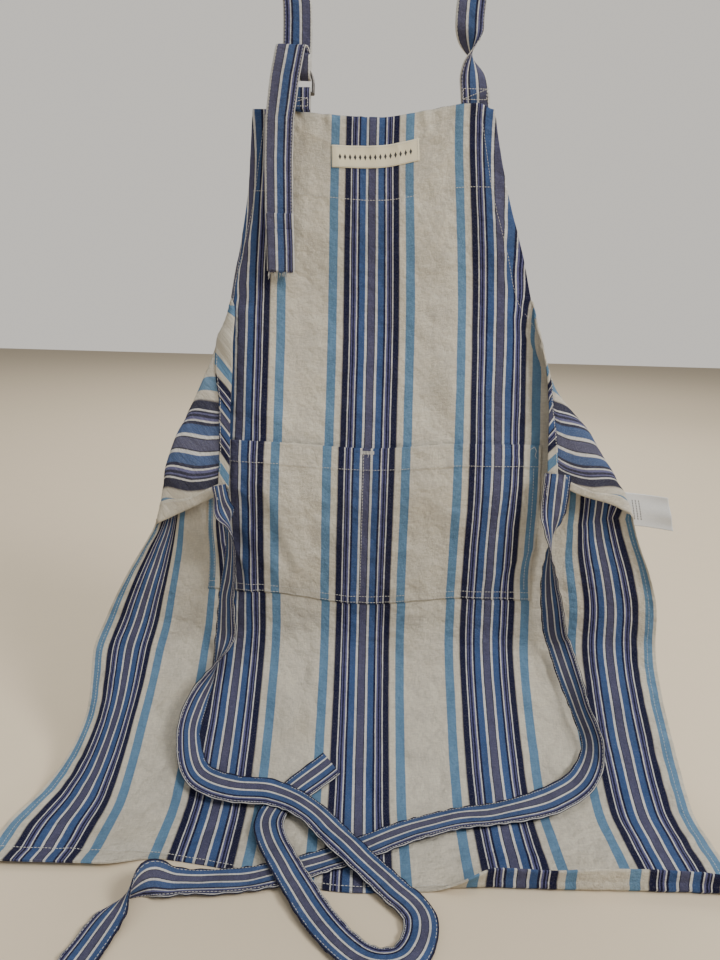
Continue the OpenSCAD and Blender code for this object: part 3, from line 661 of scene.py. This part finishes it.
def vl(u, v0, v1, n=60):
    v = np.linspace(v0, v1, n)
    return np.stack([0 * v + u, v], 1)


def all_stitches():
    t = 0.375
    stitch("stitch_facing", [hl(-124, 124, FACING - 4)], t + 0.2, replaces=("thread_facing",))
    for s, nm in ((-1, "left"), (1, "right")):
        v = np.linspace(3, 283, 90)
        w = w_flat(v)
        dw = np.gradient(w, v)
        nu, nv = 1 / np.sqrt(1 + dw**2), -dw / np.sqrt(1 + dw**2)
        P = np.stack([s * (w - nu * (ARM_HEM - 1.5)), np.maximum(1, v - nv * (ARM_HEM - 1.5))], 1)
        stitch("stitch_armhole_" + nm, [P], -1.35, replaces=("thread_armhole_" + nm,))
        stitch("stitch_armhole_front_" + nm, [P], t + 0.08, r=0.2)
        P = vl(s * (HALF_W - SIDE_HEM + 1.5), 290, BODY_LEN - 3, 120)
        stitch("stitch_side_" + nm, [P], -1.35, replaces=("thread_side_" + nm,))
        stitch("stitch_side_front_" + nm, [P], t + 0.08, r=0.2)
    P = [hl(-HALF_W + 3, HALF_W - 3, BODY_LEN - BOTTOM_HEM + 1.5, 160)]
    stitch("stitch_bottom", P, t + 0.15, replaces=("thread_bottom_hem",), r=0.3)
    stitch("stitch_bottom_back", P, -1.35, r=0.3)
    on = lambda u, v: p_off(u, v) + 0.62
    v1 = P_V0 + P_H
    e = [vl(-P_HW + 2, P_V0 + 2, v1 - 2), vl(P_HW - 2, P_V0 + 2, v1 - 2), hl(-P_HW + 2, P_HW - 2, v1 - 2.2), hl(-P_HW + 2, P_HW - 2, v1 - 8.4), vl(-P_HW + 8, P_V0 + 2, v1 - 9), vl(P_HW - 8, P_V0 + 2, v1 - 9)]
    stitch("stitch_pocket_edge", e, 0, replaces=("thread_pocket_edge",), offn=on, r=0.26)
    stitch("stitch_pocket_mouth", [hl(-P_HW + 2, P_HW - 2, P_V0 + 20.5)], 0, replaces=("thread_pocket_mouth",), offn=lambda u, v: p_off(u, v) + 1.1, r=0.22)
    stitch("stitch_pocket_divider", [vl(-4, P_V0 + 3, v1 - 9), vl(4, P_V0 + 3, v1 - 9)], 0, replaces=("thread_pocket_divider",), offn=lambda u, v: p_off(u, v) + 0.62 + 0.5 * (v < P_V0 + 22))
    stitch("bartack_pocket", [hl(-7, 7, P_V0 + 3 + k * 0.5, 5) for k in range(6)], 0, replaces=("bartack_divider",), pitch=1.5, r=0.34, offn=lambda u, v: p_off(u, v) + 1.35)


# ---------------------------------------------------------------- labels
def lab(x, z):
    c, s = math.cos(math.radians(2.5)), math.sin(math.radians(2.5))
    return 3 + x * c - z * s, 35 - (x * s + z * c)


def label_material():
    m, nt = nodes_of("label_woven")
    L = nt.links.new
    x = N(nt, "ShaderNodeAttribute", attribute_name="pu").outputs["Fac"]
    z = N(nt, "ShaderNodeAttribute", attribute_name="pv").outputs["Fac"]
    # a plain row of small lozenges
    px = math_n(nt, "PINGPONG", x, 2.6)
    dz = math_n(nt, "ABSOLUTE", math_n(nt, "ADD", z, 0.3))
    lo = math_n(nt, "ADD", math_n(nt, "DIVIDE", px, 1.5), math_n(nt, "DIVIDE", dz, 2.9))
    row = math_n(nt, "MULTIPLY", math_n(nt, "LESS_THAN", lo, 1.0), math_n(nt, "LESS_THAN", math_n(nt, "ABSOLUTE", x), 40.2))
    w = N(nt, "ShaderNodeTexWave")
    w.inputs["Scale"].default_value = 900
    tc = N(nt, "ShaderNodeTexCoord")
    L(tc.outputs["Object"], w.inputs[0])
    base_c = mix_n(nt, w.outputs["Fac"], srgb(206, 196, 166), srgb(226, 217, 190))
    col = mix_n(nt, row, base_c, srgb(52, 50, 50))
    bs = N(nt, "ShaderNodeBsdfPrincipled")
    L(col, bs.inputs["Base Color"])
    bs.inputs["Roughness"].default_value = 0.75
    out = N(nt, "ShaderNodeOutputMaterial")
    L(bs.outputs[0], out.inputs[0])
    return m


def care_material():
    m, nt = nodes_of("care_satin")
    L = nt.links.new
    x = N(nt, "ShaderNodeAttribute", attribute_name="pu").outputs["Fac"]
    z = N(nt, "ShaderNodeAttribute", attribute_name="pv").outputs["Fac"]

    def within(v, lo, hi):
        return math_n(nt, "MULTIPLY", math_n(nt, "GREATER_THAN", v, lo), math_n(nt, "LESS_THAN", v, hi))

    # rows of short plain dashes
    bars = math_n(nt, "MULTIPLY", math_n(nt, "LESS_THAN", math_n(nt, "PINGPONG", x, 1.7), 0.55), math_n(nt, "LESS_THAN", math_n(nt, "PINGPONG", z, 1.3), 0.9))
    bars = math_n(nt, "MULTIPLY", bars, math_n(nt, "MULTIPLY", within(x, 4.5, 15.5), within(z, 7.0, 27.0)))
    n = N(nt, "ShaderNodeTexNoise")
    n.inputs["Scale"].default_value = 700
    tc = N(nt, "ShaderNodeTexCoord")
    L(tc.outputs["Object"], n.inputs["Vector"])
    c = mix_n(nt, n.outputs["Fac"], srgb(196, 197, 197), srgb(216, 217, 216))
    c = mix_n(nt, bars, c, srgb(70, 70, 74))
    bs = N(nt, "ShaderNodeBsdfPrincipled")
    L(c, bs.inputs["Base Color"])
    bs.inputs["Roughness"].default_value = 0.5
    out = N(nt, "ShaderNodeOutputMaterial")
    L(bs.outputs[0], out.inputs[0])
    return m


def labels():
    x, z = np.meshgrid(np.linspace(-45, 45, 70), np.linspace(10, -10, 22))
    U, V = lab(x, z)
    e = 0.55 + 0.3 * sm((np.abs(x) - 38) / -2) + 0.25 * vn(x / 9, z / 9, 31)
    G, n = S(U, V, 0.375 + 0.55 + 0 * e + 0.2 * vn(x / 14, z / 10, 31))
    vv, ff = solid(G, 0.5, n)
    at = {"pu": np.concatenate([x.ravel()] * 2), "pv": np.concatenate([z.ravel()] * 2)}
    put("woven_label", vv, ff, "apron", label_material(), at, ("woven_label",))
    c = [lab(a, b) for a, b in ((-43.6, 8.7), (43.6, 8.7), (43.6, -8.7), (-43.6, -8.7), (-43.6, 8.7))]
    P = [np.array([[lin(c[i][0], c[i + 1][0], t), lin(c[i][1], c[i + 1][1], t)] for t in np.linspace(0, 1, 20)]) for i in range(4)]
    stitch("stitch_label", P, 0.375 + 0.55 + 0.38, replaces=("thread_woven_label",), pitch=2.3, r=0.26)
    # care label: soft satin tape behind the right side hem
    i, j = np.meshgrid(np.linspace(0, 4, 30), np.linspace(0, 6, 40), indexing="ij")
    cx, cy, cz = 252.6, -44.0, -514.0
    G = np.stack([cx + j * 7.3 + i * 2.2, cy + 0.8 + 3 * sind(j * 26 + i * 8) + 0.5 * np.sin(i * 2.2) * j / 3, cz - i * 8.4 - j * 0.8], -1)
    vv, ff = solid(G, 0.3)
    at = {"pu": np.concatenate([(j * 7.3).ravel()] * 2), "pv": np.concatenate([(i * 8.4).ravel()] * 2)}
    put("care_label", vv, ff, "care_tag", care_material(), at, ("care_label",))
    k = np.arange(0.3, 3.7, 0.3)
    fy = lambda ii, jj: np.stack([cx + jj * 7.3 + ii * 2.2, cy + 0.8 + 3 * sind(jj * 26 + ii * 8) + 0.35, cz - ii * 8.4 - jj * 0.8], -1)
    v, f = capsules(fy(k, 0.5 + 0 * k), fy(k + 0.2, 0.5 + 0 * k), np.tile([0, 1.0, 0], (len(k), 1)), 0.28)
    put("stitch_care_label", v, f, "care_tag", M_THREAD, None, ("thread_care_label",))


# ---------------------------------------------------------------- tape: straps and ties
def tape(name, C, W, width, u0, body, replaces=(), seed=40, wob=0.35, th=STRAP_T, na=13, curl=0.0, rag=0.0, pk=0.28, fine=1.0, root=1.0):
    """A folded tape along centres C, across unit vectors W."""
    C, W = np.asarray(C, float), np.asarray(W, float)
    d = np.gradient(C, axis=0)
    ln = np.r_[0, np.cumsum(np.linalg.norm(np.diff(C, axis=0), axis=1))]
    nn = np.cross(W, d)
    nn /= np.maximum(1e-9, np.linalg.norm(nn, axis=1, keepdims=True))
    s = np.linspace(1, -1, na)
    wid = width * (1 - 0.015 + 0.02 * vn(ln / 37, ln * 0 + seed, seed)) * lin(root, 1.0, sm((ln - 6) / 34))
    # bowed across, with small puckers at its stitched edges
    puck = pk * np.sin(ln / 2.7 + 2 * vn(ln / 15, ln * 0, seed + 1))
    off = wob * vn(ln / 24, ln * 0 + 1, seed + 2)[:, None] * (1 - s[None] ** 2) + curl * (1 - s[None] ** 2) + puck[:, None] * np.abs(s[None]) ** 6 + 0.5 * wob * vn(ln[:, None] / 16 + 0 * s[None], s[None] * 1.3 + 0 * ln[:, None], seed + 3)
    G = C[:, None] + W[:, None] * (s[None, :, None] * wid[:, None, None] / 2) + nn[:, None] * off[..., None]
    if rag:
        G[-1] += d[-1][None] / np.linalg.norm(d[-1]) * (rag * np.random.RandomState(seed).rand(na)[:, None] - rag / 2)
    t = th * (1 - 0.35 * np.abs(s[None]) ** 8) + 0 * ln[:, None]
    vv, ff = solid(G, t, np.broadcast_to(nn[:, None], G.shape))
    U = u0 + (1 - s[None]) / 2 * width * fine + 0 * ln[:, None]
    V = ln[:, None] + 0 * s[None] + seed * 50
    ob = put(name, vv, ff, body, M_TAPE, flat_attrs(U, V), replaces)
    return ob, C, W, nn, ln, wid


def tape_stitch(name, T, body, inset=1.8, replaces=(), sides=(1, -1), faces=(1, -1), pitch=2.8):
    ob, C, W, nn, ln, wid = T
    VV, FF, b0 = [], [], 0
    for sd in sides:
        for fc in faces:
            P = C + W * (sd * (wid / 2 - inset))[:, None] + nn * fc * (STRAP_T / 2 + 0.12)
            k = int(ln[-1] / pitch)
            t0 = np.arange(k) * pitch + 1
            t1 = t0 + pitch * 0.7
            f = lambda t, Q: np.stack([np.interp(t, ln, Q[:, i]) for i in range(3)], 1)
            v, q = capsules(f(t0, P), f(t1, P), f(t0, nn) * fc, 0.21)
            VV.append(v)
            FF += [tuple(i + b0 for i in x) for x in q]
            b0 += len(v)
    put(name, np.concatenate(VV), FF, body, M_THREAD, None, replaces)


def resample(P, n):
    P = np.asarray(P, float)
    d = np.r_[0, np.cumsum(np.linalg.norm(np.diff(P[:, :3], axis=0), axis=1))]
    t = np.linspace(0, d[-1], n)
    return np.stack([np.interp(t, d, P[:, i]) for i in range(P.shape[1])], 1)


TIE_L = A([[-143, 352, 21.3, 0], [-139, 369, 21, 0], [-134, 390, 19.8, 100], [-132, 420, 18.2, 122], [-136, 463, 18, 136], [-138, 515, 18, 150], [-147, 552, 17.5, 92], [-158, 585, 16, 50], [-161, 615, 12, 38], [-147, 648, 8.5, 8], [-112, 662, 9, 0], [-78, 664, 9, 0], [-46, 680, 9, 0],
           [-12, 718, 9, 0], [25, 758, 4, 0], [46, 788, 3, 0], [36, 820, 3, 0], [8, 822, 3, 0], [-22, 796, 3, 0], [-50, 756, 6, 0], [-72, 716, 7, 0], [-76, 690, 5.6, 0], [-64, 664, 4.2, 0], [-26, 628, 3.7, 0]], float)
TIE_R = A([[183, 336, 18.5, 0], [181, 364, 18.8, 0], [180, 392, 19, 62], [181, 414, 19, 92], [184, 442, 18.5, 122], [191, 480, 18, 141], [203, 530, 17, 141], [212, 575, 17, 118], [218, 612, 16, 128], [204, 642, 10, 172], [170, 662, 7, 180], [128, 676, 5.5, 180], [80, 686, 5, 180], [34, 702, 4.4, 180],
           [-8, 722, 3, 180], [-62, 749, 2.6, 180], [-100, 760, 2.6, 180], [-138, 764, 4, 184], [-160, 772, 12, 250], [-177, 796, 4.5, 345], [-186, 824, 2.4, 360], [-192, 846, 2.2, 360]], float)


def rib(P, n):
    K = np.arange(len(P), dtype=float)
    T = [np.stack([K, P[:, k]], 1) for k in range(4)]

    def at(t):
        v = crv(T[1], t)
        return base(crv(T[0], t), v) + nrm(v) * crv(T[2], t)[:, None]

    t = np.linspace(0, len(P) - 1, n)
    e = 0.02
    p, d = at(t), at(t + e) - at(t - e)
    nn, a = nrm(crv(T[1], t)), crv(T[3], t)
    c = np.cross(d, nn)
    s0 = c / np.linalg.norm(c, axis=1, keepdims=True)
    u0 = np.cross(s0, d) / np.linalg.norm(d, axis=1, keepdims=True)
    W = s0 * cosd(a)[:, None] + u0 * sind(a)[:, None]
    return p, W


def ties():
    for nm, P, u0, body, seed in (("left", TIE_L, -22.0, "left_tie", 60), ("right", TIE_R, -22.0, "right_tie", 70)):
        C, W = rib(P, n_of(520))
        T = tape("waist_tie_" + nm, C, W, TIE_W, u0, body, ("waist_tie_" + nm,), seed, wob=0.9, curl=0.75, pk=0.6, fine=1.38, root=0.55 if nm == "left" else 1.0)
        tape_stitch("stitch_tie_" + nm, T, body, replaces=())
        # the box of stitching that holds the tie to the wing's corner
        nn = T[3]
        a, b = C[0] + (C[8] - C[0]) * 0.2, C[min(len(C) - 1, 16)]
        w = W[0] * (4.5 if nm == "left" else 9)
        q = [a - w, a + w, b + w, b - w, a - w, b + w]
        A0, B0 = [], []
        for i in range(5):
            L = np.linalg.norm(q[i + 1] - q[i])
            k = max(1, int(L / 2.3))
            for j in range(k):
                A0.append(lin(q[i], q[i + 1], j / k))
                B0.append(lin(q[i], q[i + 1], (j + 0.72) / k))
        face = -np.sign(nn[4][1]) * nn[4]
        v, f = capsules(A(A0) + face * 0.95, A(B0) + face * 0.95, np.tile(face, (len(A0), 1)), 0.3)
        put("stitch_tie_box_" + nm, v, f, body, M_THREAD, None, ("thread_tie_" + nm,))


LEG_L = A([[0, -89], [30, -88.3], [56, -85.5], [66, -78.5], [78, -76], [130, -76]], float)
LEG_R = A([[0, 89], [12, 89.3], [28, 88.4], [50, 84.4], [90, 81.5], [125, 86], [156, 90.5]], float)
LBX = -76.0


def neck():
    # one run of tape: right base, half twist, arch, left leg, round through the rings
    C, W = [], []
    for z in np.linspace(163, 0, 70):
        a = 90 - 90 * min(1, z / 58) ** 4 - 180 * float(sm((z - 84) / 62))
        C.append([float(crv(LEG_R, z)), 2.0 * float(sm((z - 149) / 6)), -z])
        W.append([cosd(a), sind(a), 0])
    for a in np.linspace(0, 180, 90)[1:-1]:
        C.append([LOOP_R * cosd(a), 0, LOOP_R * sind(a)])
        W.append([0, 1, 0])
    for z in np.linspace(0, 108, 60):
        a = 90 + 90 * min(1, z / 58) ** 4
        C.append([float(crv(LEG_L, z)), 9 * float(sm(z / 90)), -z])
        W.append([cosd(a), sind(a), 0])
    pts = [[9, -58], [9, -80]] + [[9 * cosd(a), -81 - 8.5 * sind(a)] for a in range(10, 180, 10)] + [[-9, -80], [-9, -71]]
    R = resample([[LBX, p[0], p[1] + LOW] for p in pts], 46)[1:]
    for p in R:
        C.append(list(p))
        W.append([-1, 0, 0])
    T = tape("neck_strap", C, W, STRAP_W - 0.8, -21.5, "neck_loop", ("neck_strap",), 80, wob=0.25, th=1.3)
    tape_stitch("stitch_neck_strap", T, "neck_loop")
    # the loose tail, with its lumpy turned end
    P = [[-9, -69.6, 0], [-9.4, -67, -0.5]] + [[-11.4 + 2.2 * cosd(a), -66.4 + 2.2 * sind(a), -1 - a / 50] for a in range(30, 180, 30)] + [[-13.8, -70, -5], [-13.6, -90, -9], [-11.5, -125, -14], [-10.5, -160, -15], [-10, -205, -14.5], [-10.5, -240, -13], [-11, -69 - TAIL, -12.5]]
    C = resample([[LBX + p[2], p[0], p[1] + LOW] for p in P], 130)
    W = np.tile([1.0, 0, 0], (len(C), 1))
    T = tape("strap_tail", C, W, STRAP_W - 1, -21.5, "loose_tail", ("strap_tail",), 90, wob=0.5, rag=3.0)
    tape_stitch("stitch_tail", T, "loose_tail")
    # the end is folded on itself twice: a second and a third layer in front
    tail = C[-34:].copy()
    for k, (off, cut) in enumerate(((-1.75, 0), (-3.3, 9))):
        D = tail[cut:].copy()
        D[:, 1] += off + 0.35 * np.sin(np.linspace(0, 7 + k, len(D)))
        D[:, 0] += 0.6 * (k - 0.4)
        T2 = tape("strap_tail_fold_%d" % (k + 1), D, np.tile([1.0, 0, 0], (len(D), 1)), STRAP_W - 1.5 - k, -21.5, "loose_tail", (), 92 + k, wob=0.6, rag=4.0, th=1.2)
    # frayed ends
    rs = np.random.RandomState(5)
    A0, B0 = [], []
    end = C[-1]
    for i in range(34):
        x = end[0] + (rs.rand() - 0.5) * 25
        y = end[1] - rs.rand() * 3
        L = 3 + 8 * rs.rand() ** 2
        A0.append([x, y, end[2] + 1])
        B0.append([x + (rs.rand() - 0.5) * 4, y - rs.rand() * 1.2, end[2] - L])
    v, f = capsules(A(A0), A(B0), np.tile([0, -1.0, 0], (len(A0), 1)), 0.17, 1.0)
    put("frayed_tail", v, f, "loose_tail", M_THREAD, None, ())
    # ring tab
    P = [[-4.6, -115.6], [-4.6, -101]] + [[-4.6 * cosd(a), -101 + 4.6 * sind(a)] for a in range(15, 180, 15)] + [[4.6, -101], [4.6, -115.6]]
    C = resample([[LBX, p[0], p[1] + LOW] for p in P], 60)
    T = tape("ring_tab", C, np.tile([1.0, 0, 0], (len(C), 1)), STRAP_W - 1, -21.5, "neck_loop", ("ring_tab",), 100, wob=0.12)
    for nm, cx, cy, cz, w, h, rep in (("stitch_ring_tab", LBX, -5.55, -161.6, 22, 7, "thread_ring_tab"), ("stitch_strap_base", 89.5, -0.95, -149.8, 22, 9, "thread_strap_base")):
        q = A([[cx - w / 2, cy, cz - h / 2], [cx + w / 2, cy, cz - h / 2], [cx + w / 2, cy, cz + h / 2], [cx - w / 2, cy, cz + h / 2], [cx - w / 2, cy, cz - h / 2], [cx + w / 2, cy, cz + h / 2]])
        A0, B0 = [], []
        for i in range(5):
            k = max(1, int(np.linalg.norm(q[i + 1] - q[i]) / 2.3))
            for j in range(k):
                A0.append(lin(q[i], q[i + 1], j / k))
                B0.append(lin(q[i], q[i + 1], (j + 0.72) / k))
        v, f = capsules(A(A0), A(B0), np.tile([0, -1.0, 0], (len(A0), 1)), 0.28)
        put(nm, v, f, "neck_loop", M_THREAD, None, (rep,))


# ---------------------------------------------------------------- loose threads
def loose_threads():
    rs = np.random.RandomState(9)

    def strand(p0, steps, r=0.17):
        pts = [A(p0, float)]
        for s in steps:
            pts.append(pts[-1] + A(s, float))
        pts = resample(pts, 12 * len(steps))
        pts = pts + (np.cumsum(rs.rand(len(pts), 3) - 0.5, 0) * 0.12)
        return pts

    p, _ = S(A([163.0]), A([P_V0 + 2.0]), A([6.0]))
    a = strand(p[0], [[-4, -1, -3], [-3, -0.5, 2], [-3, 0, -4], [1, 0, -4]])
    b = strand(p[0], [[2, -1, -4], [-1, 0, -5], [2, 0, -2]])
    p2, _ = S(A([-1.0]), A([P_V0 + 3.0]), A([4.0]))
    c = strand(p2[0], [[2, -1, -3], [-1, 0, -3]])
    A0 = np.concatenate([x[:-1] for x in (a, b, c)])
    B0 = np.concatenate([x[1:] for x in (a, b, c)])
    v, f = capsules(A0, B0, np.tile([0, -1.0, 0.2], (len(A0), 1)), 0.22, 1.0)
    put("loose_threads", v, f, "apron", M_THREAD, None, ())


body_panel()
hems()
facing()
pocket()
all_stitches()
labels()
ties()
neck()
loose_threads()

for nm in ("d_ring_front", "d_ring_rear"):
    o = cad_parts[nm]
    o.data.materials.clear() if False else None
    for sl in o.material_slots:
        sl.link = "OBJECT"
        sl.material = M_STEEL

# ---------------------------------------------------------------- floor, light, camera
bpy.ops.mesh.primitive_plane_add(size=14, location=(0, 0, TABLE_Z / 1000 - 0.0002))
floor = bpy.context.object
floor.name = "floor"
floor.data.materials.append(M_FLOOR)

world = bpy.data.worlds.new("soft")
world.use_nodes = True
bg = world.node_tree.nodes["Background"]
bg.inputs[0].default_value = (0.83, 0.82, 0.80, 1)
bg.inputs[1].default_value = 0.44
# the backdrop is paler than the light it gives
wt = world.node_tree
bg2 = wt.nodes.new("ShaderNodeBackground")
bg2.inputs[0].default_value = (0.86, 0.82, 0.76, 1)
bg2.inputs[1].default_value = 0.86
lp, mx = wt.nodes.new("ShaderNodeLightPath"), wt.nodes.new("ShaderNodeMixShader")
wt.links.new(lp.outputs["Is Camera Ray"], mx.inputs[0])
wt.links.new(bg.outputs[0], mx.inputs[1])
wt.links.new(bg2.outputs[0], mx.inputs[2])
wt.links.new(mx.outputs[0], wt.nodes["World Output"].inputs[0])
bpy.context.scene.world = world


def area(name, loc, target, size, power, col=(1, 1, 1)):
    d = bpy.data.lights.new(name, "AREA")
    d.shape, d.size, d.energy, d.color = "SQUARE", size, power, col
    o = bpy.data.objects.new(name, d)
    bpy.context.scene.collection.objects.link(o)
    v = np.asarray(target, float) - np.asarray(loc, float)
    from mathutils import Vector
    o.matrix_world = Matrix.Translation(loc) @ Vector(v).to_track_quat("-Z", "Y").to_matrix().to_4x4()
    return o


area("key", (1.55, -1.15, 0.95), (0, -0.05, -0.45), 0.7, 46, (1.0, 0.985, 0.96))
area("fill", (-1.2, -1.9, 0.3), (0, -0.05, -0.4), 1.8, 8.5, (0.95, 0.97, 1.0))
area("top", (0.3, -0.5, 2.0), (0, -0.1, -0.5), 1.2, 18, (1.0, 0.98, 0.95))
area("rim", (0.4, 1.9, 0.9), (0, 0, -0.4), 1.6, 14)
area("back", (0.2, 3.0, 2.6), (0.1, 1.9, TABLE_Z / 1000), 2.6, 95, (1.0, 0.985, 0.96))

cam = bpy.data.cameras.new("camera")
cam.lens, cam.sensor_width, cam.clip_start = 27.0, 36.0, 0.02
co = bpy.data.objects.new("camera", cam)
bpy.context.scene.collection.objects.link(co)
co.matrix_world = Matrix.Translation((-0.0069, -0.730, (TABLE_Z + 432) / 1000)) @ Matrix.Rotation(math.radians(90 - 12.8), 4, "X") @ Matrix.Rotation(math.radians(1.6), 4, "Z")
bpy.context.scene.camera = co

bpy.context.view_layer.update()
